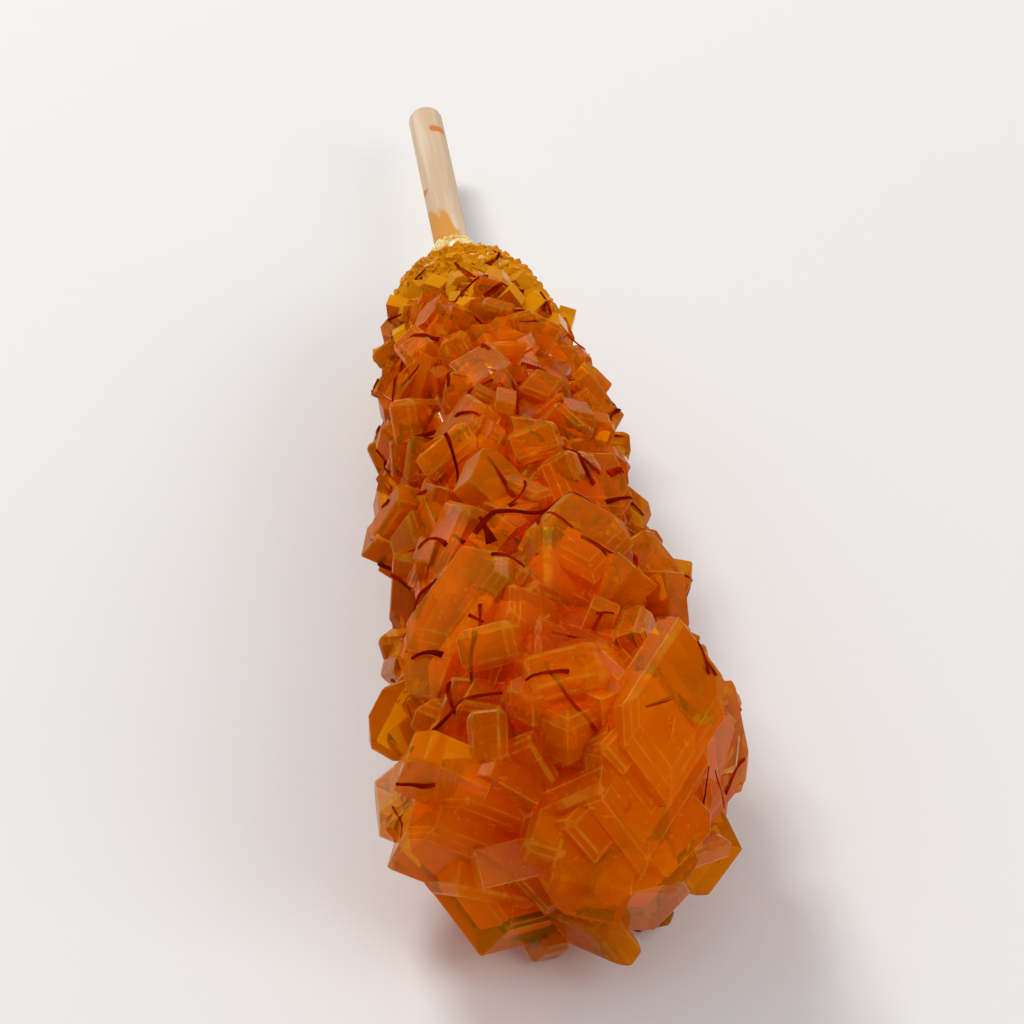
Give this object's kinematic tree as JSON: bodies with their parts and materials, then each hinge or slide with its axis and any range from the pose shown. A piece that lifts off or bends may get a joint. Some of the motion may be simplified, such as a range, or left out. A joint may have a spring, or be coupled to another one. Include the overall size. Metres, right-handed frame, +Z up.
{
  "type": "rock candy stick",
  "caption": "Saffron rock candy grown round a plain wooden stick, fine at the neck and in large slab-like crystals at the far end, lying on its side to be served.",
  "frame": {"origin": "on the resting plane, under the middle of the whole stick's bounding box", "axes": "+Z up as it lies, +Y along the stick from the large crystals to the bare wooden end"},
  "size_m": [0.0312, 0.126, 0.0295],
  "materials": {
    "sugar": "clear saffron-orange sugar crystal, glossy facets, cloudy inside",
    "wood": "smooth unvarnished pale birch with a few yellow syrup stains"
  },
  "bodies": {
    "root": {"candy": "sugar", "stick": "wood"}
  },
  "joints": []
}
